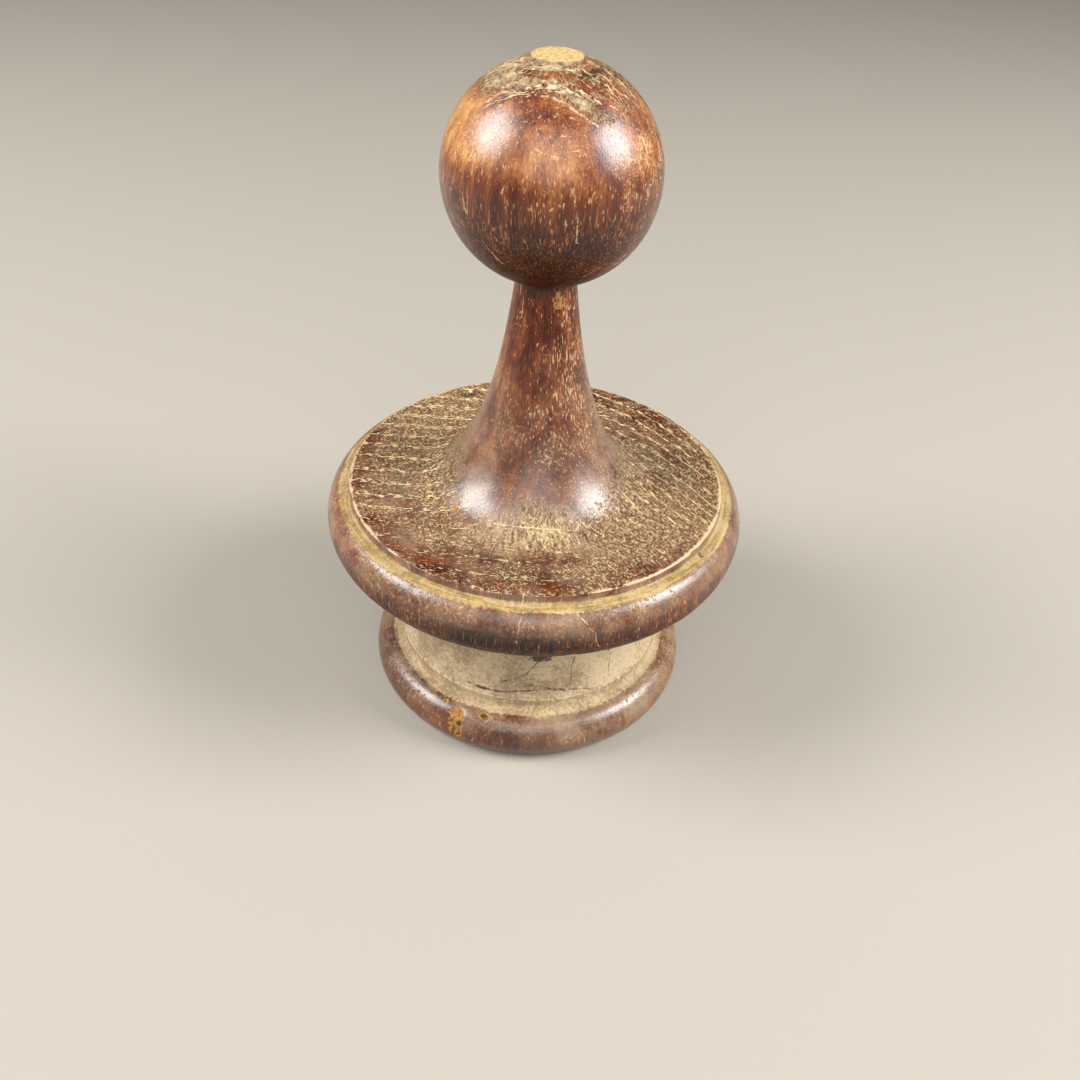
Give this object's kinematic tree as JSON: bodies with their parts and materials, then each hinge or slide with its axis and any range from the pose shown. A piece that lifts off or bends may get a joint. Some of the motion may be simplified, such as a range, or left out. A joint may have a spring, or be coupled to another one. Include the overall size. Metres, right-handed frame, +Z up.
{
  "type": "wooden finial",
  "caption": "Turned wooden finial: a ball on a slender flared neck over a beaded disc, with a plain waist and a beaded foot, to crown a post, roof or piece of furniture.",
  "frame": {"origin": "centre of the flat underside, where the finial stands", "axes": "+Z up along the turning axis, from the foot to the ball; +X to the right and +Y away from the viewer in the picture's view"},
  "size_m": [0.0606, 0.0606, 0.0931],
  "materials": {
    "turned_wood": "dark red-brown stained and polished hardwood, worn, with pale dust in its pores and hollows"
  },
  "bodies": {
    "root": {"finial": "turned_wood"}
  },
  "joints": []
}
